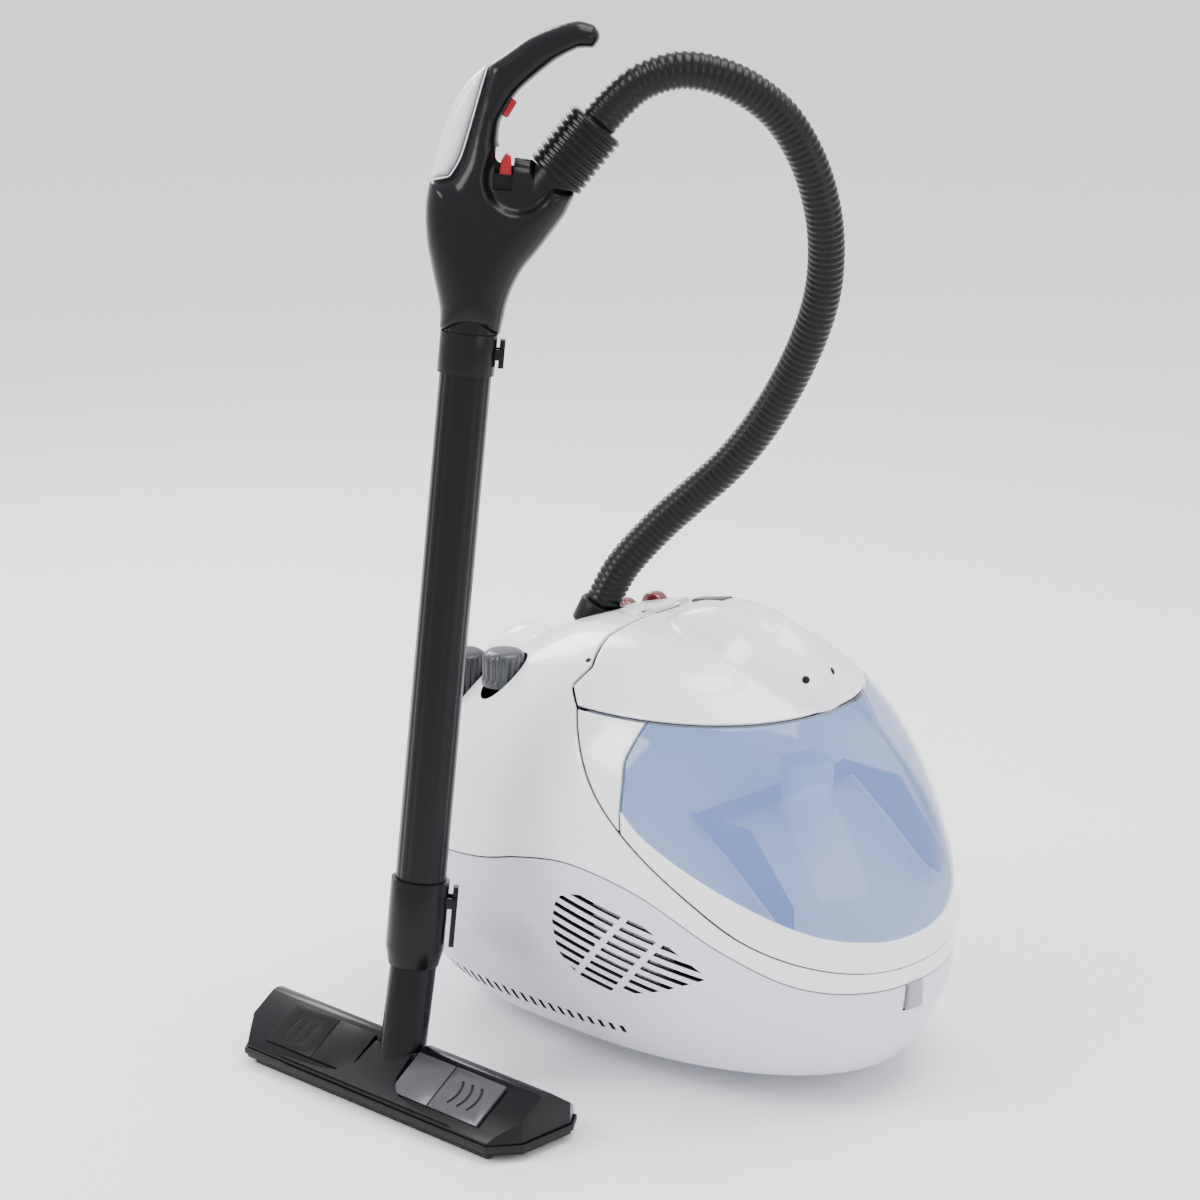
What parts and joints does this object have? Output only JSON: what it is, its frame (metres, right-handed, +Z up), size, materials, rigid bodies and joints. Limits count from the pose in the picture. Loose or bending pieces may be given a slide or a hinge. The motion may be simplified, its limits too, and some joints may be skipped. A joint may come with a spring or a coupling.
{
  "type": "steam vacuum cleaner",
  "caption": "Wheeled steam and suction cleaner with a clear water bucket, joined by a ribbed hose to a trigger handle, a tube and a floor brush.",
  "frame": {"origin": "on the floor, under the middle of the bounding box of everything but the hose", "axes": "+Z up, +X towards the nose of the body, +Y towards the side away from the wand"},
  "size_m": [0.467, 0.47, 0.8017],
  "materials": {
    "base_lavender": "satin",
    "casing_white": "gloss",
    "visor_blue": "clear gloss",
    "bucket_pale": "satin",
    "frame_blue": "satin",
    "float_white": "matte",
    "latch_grey": "satin",
    "switch_red": "gloss",
    "knob_grey": "satin",
    "cap_dark": "satin",
    "black_gloss": "gloss",
    "black_matte": "satin",
    "hose_black": "satin ribbed",
    "trigger_red": "gloss",
    "insert_pale": "satin",
    "soft_black": "matte",
    "bristle_black": "matte",
    "steel": "satin",
    "chrome_pin": "polished",
    "heater_iron": "matte",
    "motor_steel": "satin",
    "filter_paper": "matte",
    "board_green": "satin",
    "impeller_metal": "satin",
    "slider_grey": "satin"
  },
  "bodies": {
    "machine": {"base_pan": "base_lavender", "rear_casing": "casing_white", "lid_hinge_pin": "chrome_pin", "rear_hump": "casing_white", "boiler": "steel", "heating_plate": "heater_iron", "motor": "motor_steel", "motor_seat": "soft_black", "exhaust_filter": "filter_paper", "circuit_board": "board_green", "cord_gland": "soft_black", "hose_socket": "black_matte", "hose": "hose_black", "handle_shell_left": "black_gloss", "handle_shell_right": "black_gloss", "handle_duct": "black_matte", "back_insert": "insert_pale", "trigger_switch": "black_matte", "tube_collar": "black_gloss", "extension_tube": "black_gloss", "steam_pipe": "black_matte", "lower_socket": "black_gloss", "brush_neck": "black_gloss", "casing_screws": "steel"},
    "lid": {"lid": "casing_white", "lid_grip": "knob_grey", "lid_lenses": "black_gloss"},
    "water_bucket": {"visor": "visor_blue", "visor_side_panels": "casing_white", "bucket_floor": "bucket_pale", "filter_frame": "frame_blue", "filter_float": "float_white"},
    "front_latch": {"front_latch": "latch_grey"},
    "vacuum_switch": {"vacuum_switch": "switch_red"},
    "steam_switch": {"steam_switch": "switch_red"},
    "steam_knob": {"steam_knob": "knob_grey"},
    "boiler_cap": {"boiler_cap": "cap_dark"},
    "impeller": {"impeller": "impeller_metal"},
    "hose_collar": {"hose_collar": "black_gloss"},
    "trigger": {"trigger": "trigger_red"},
    "steam_button": {"steam_button": "trigger_red"},
    "upper_latch": {"upper_latch": "black_gloss"},
    "lower_latch": {"lower_latch": "black_gloss"},
    "brush_head": {"neck_pin": "chrome_pin", "brush_housing": "black_gloss", "sole_plate": "black_matte", "bristle_strips": "bristle_black", "brush_bumper": "soft_black"},
    "slider_left": {"slider_left": "slider_grey"},
    "slider_right": {"slider_right": "slider_grey"},
    "castor_fork_front_left": {"castor_fork_front_left": "knob_grey"},
    "castor_wheel_front_left": {"castor_wheel_front_left": "soft_black"},
    "castor_fork_front_right": {"castor_fork_front_right": "knob_grey"},
    "castor_wheel_front_right": {"castor_wheel_front_right": "soft_black"},
    "castor_fork_rear_left": {"castor_fork_rear_left": "knob_grey"},
    "castor_wheel_rear_left": {"castor_wheel_rear_left": "soft_black"},
    "castor_fork_rear_right": {"castor_fork_rear_right": "knob_grey"},
    "castor_wheel_rear_right": {"castor_wheel_rear_right": "soft_black"}
  },
  "joints": [
    {"name": "lid_hinge", "type": "hinge", "parent": "machine", "child": "lid", "pos_m": [-0.026, 0.067, 0.333], "axis": [0, -1, 0], "range_deg": [0, 60]},
    {"name": "bucket_slide", "type": "slide", "parent": "machine", "child": "water_bucket", "axis": [1, 0, 0], "range_m": [0, 0.14]},
    {"name": "front_latch_press", "type": "slide", "parent": "machine", "child": "front_latch", "axis": [-1, 0, 0], "range_m": [0, 0.003], "stiffness_N_per_m": 600},
    {"name": "vacuum_switch_rock", "type": "hinge", "parent": "machine", "child": "vacuum_switch", "pos_m": [-0.101, 0.103, 0.308], "axis": [0, 1, 0], "range_deg": [-7, 7]},
    {"name": "steam_switch_rock", "type": "hinge", "parent": "machine", "child": "steam_switch", "pos_m": [-0.069, 0.103, 0.32], "axis": [0, 1, 0], "range_deg": [-7, 7]},
    {"name": "steam_knob_turn", "type": "hinge", "parent": "machine", "child": "steam_knob", "pos_m": [-0.095, -0.039, 0.282], "axis": [0, 0, 1], "range_deg": [0, 270]},
    {"name": "boiler_cap_turn", "type": "hinge", "parent": "machine", "child": "boiler_cap", "pos_m": [-0.154, -0.025, 0.25], "axis": [0, 0, 1], "range_deg": [0, 270]},
    {"name": "impeller_spin", "type": "hinge", "parent": "machine", "child": "impeller", "pos_m": [-0.025, 0.127, 0.064], "axis": [0, 0, 1], "continuous": true},
    {"name": "castor_swivel_front_left", "type": "hinge", "parent": "machine", "child": "castor_fork_front_left", "pos_m": [0.085, 0.109, 0.026], "axis": [0, 0, 1], "continuous": true},
    {"name": "castor_roll_front_left", "type": "hinge", "parent": "castor_fork_front_left", "child": "castor_wheel_front_left", "pos_m": [0.079, 0.109, 0.009], "axis": [0, 1, 0], "continuous": true},
    {"name": "castor_swivel_front_right", "type": "hinge", "parent": "machine", "child": "castor_fork_front_right", "pos_m": [0.085, 0.025, 0.026], "axis": [0, 0, 1], "continuous": true},
    {"name": "castor_roll_front_right", "type": "hinge", "parent": "castor_fork_front_right", "child": "castor_wheel_front_right", "pos_m": [0.079, 0.025, 0.009], "axis": [0, 1, 0], "continuous": true},
    {"name": "castor_swivel_rear_left", "type": "hinge", "parent": "machine", "child": "castor_fork_rear_left", "pos_m": [-0.12, 0.119, 0.026], "axis": [0, 0, 1], "continuous": true},
    {"name": "castor_roll_rear_left", "type": "hinge", "parent": "castor_fork_rear_left", "child": "castor_wheel_rear_left", "pos_m": [-0.126, 0.119, 0.009], "axis": [0, 1, 0], "continuous": true},
    {"name": "castor_swivel_rear_right", "type": "hinge", "parent": "machine", "child": "castor_fork_rear_right", "pos_m": [-0.12, 0.015, 0.026], "axis": [0, 0, 1], "continuous": true},
    {"name": "castor_roll_rear_right", "type": "hinge", "parent": "castor_fork_rear_right", "child": "castor_wheel_rear_right", "pos_m": [-0.126, 0.015, 0.009], "axis": [0, 1, 0], "continuous": true},
    {"name": "trigger_pull", "type": "hinge", "parent": "machine", "child": "trigger", "pos_m": [-0.04004, -0.09015, 0.67913], "axis": [0.7071, -0.7006, 0.096], "range_deg": [0, 6], "stiffness_Nm_per_rad": 0.6},
    {"name": "steam_button_press", "type": "slide", "parent": "machine", "child": "steam_button", "axis": [-0.6355, -0.5702, 0.5206], "range_m": [0, 0.002], "stiffness_N_per_m": 500},
    {"name": "hose_collar_turn", "type": "hinge", "parent": "machine", "child": "hose_collar", "pos_m": [-0.01473, -0.06316, 0.68966], "axis": [0.3934, 0.5025, 0.7699], "continuous": true},
    {"name": "upper_latch_rock", "type": "hinge", "parent": "machine", "child": "upper_latch", "pos_m": [-0.03361, -0.09979, 0.56135], "axis": [-0.7071, 0.7006, -0.096], "range_deg": [-4, 4], "stiffness_Nm_per_rad": 0.5},
    {"name": "lower_latch_rock", "type": "hinge", "parent": "machine", "child": "lower_latch", "pos_m": [-0.03219, -0.15458, 0.15099], "axis": [-0.7071, 0.7006, -0.096], "range_deg": [-4, 4], "stiffness_Nm_per_rad": 0.5},
    {"name": "brush_pitch", "type": "hinge", "parent": "machine", "child": "brush_head", "pos_m": [-0.051, -0.195, 0.022], "axis": [1, 0, 0], "range_deg": [-10, 25]},
    {"name": "slider_left_move", "type": "slide", "parent": "brush_head", "child": "slider_left", "axis": [-1, 0, 0], "range_m": [0, 0.008]},
    {"name": "slider_right_move", "type": "slide", "parent": "brush_head", "child": "slider_right", "axis": [1, 0, 0], "range_m": [0, 0.008]}
  ]
}
